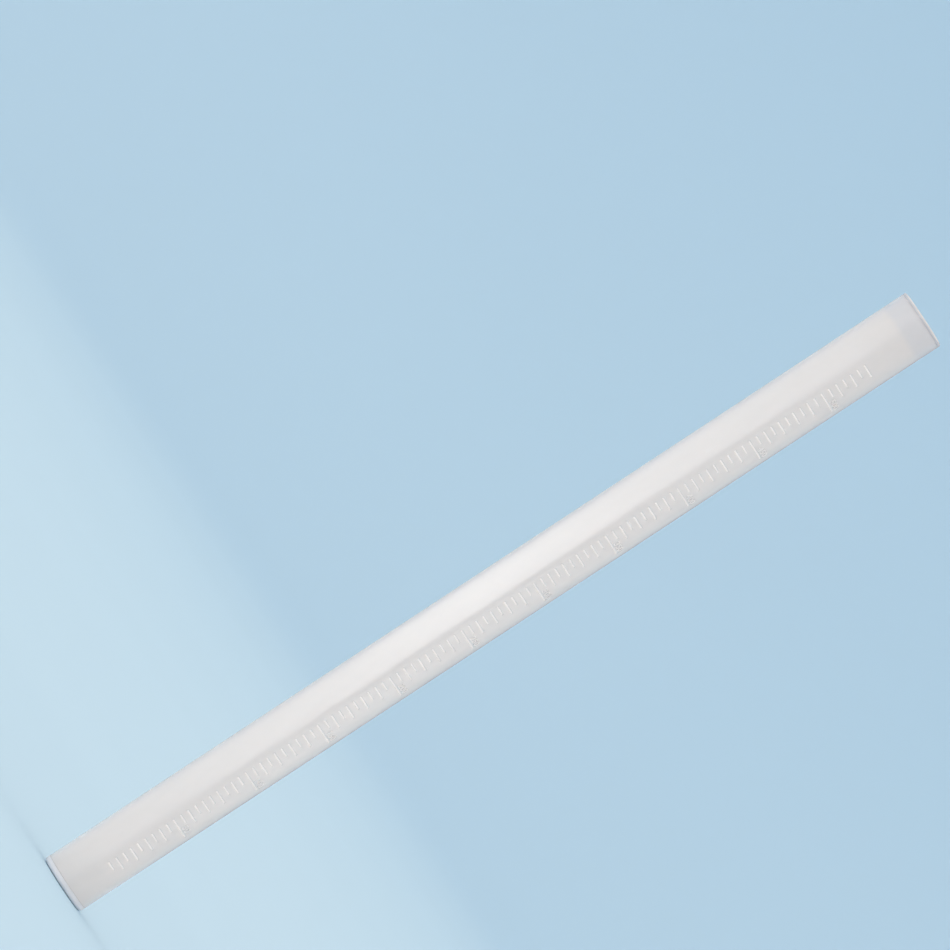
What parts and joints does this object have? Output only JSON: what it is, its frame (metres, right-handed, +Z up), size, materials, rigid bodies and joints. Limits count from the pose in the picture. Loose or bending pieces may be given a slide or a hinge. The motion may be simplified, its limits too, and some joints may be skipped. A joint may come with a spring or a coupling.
{
  "type": "manual rain gauge",
  "caption": "Slender translucent measuring tube with a direct-reading millimetre scale, a push-in base plug and a lift-out funnel with leaf screen.",
  "frame": {"origin": "centre of the face that the gauge stands on, at the underside of the base plug's flange", "axes": "+Z up along the tube's axis from the base plug to the catching rim; -Y towards the person reading the scale; +X to that person's right, the side that the scale lines run towards"},
  "size_m": [0.037, 0.037, 0.6],
  "materials": {
    "tube_plastic": "milky translucent moulded plastic with a soft gloss",
    "plug_plastic": "natural translucent plastic, satin",
    "funnel_plastic": "natural translucent plastic, satin",
    "seal_silicone": "natural translucent silicone rubber, matt",
    "screen_plastic": "natural moulded plastic, matt"
  },
  "bodies": {
    "base": {"base_plug": "plug_plastic", "base_seal_lower": "seal_silicone", "base_seal_upper": "seal_silicone"},
    "tube": {"measuring_tube": "tube_plastic"},
    "funnel": {"catch_funnel": "funnel_plastic", "funnel_seal": "seal_silicone"},
    "screen": {"leaf_screen": "screen_plastic"}
  },
  "joints": [
    {"name": "tube_lift", "type": "slide", "parent": "base", "child": "tube", "axis": [0, 0, 1], "range_m": [0, 0.032]},
    {"name": "funnel_lift", "type": "slide", "parent": "tube", "child": "funnel", "axis": [0, 0, 1], "range_m": [0, 0.044]},
    {"name": "screen_lift", "type": "slide", "parent": "funnel", "child": "screen", "axis": [0, 0, 1], "range_m": [0, 0.024]}
  ]
}
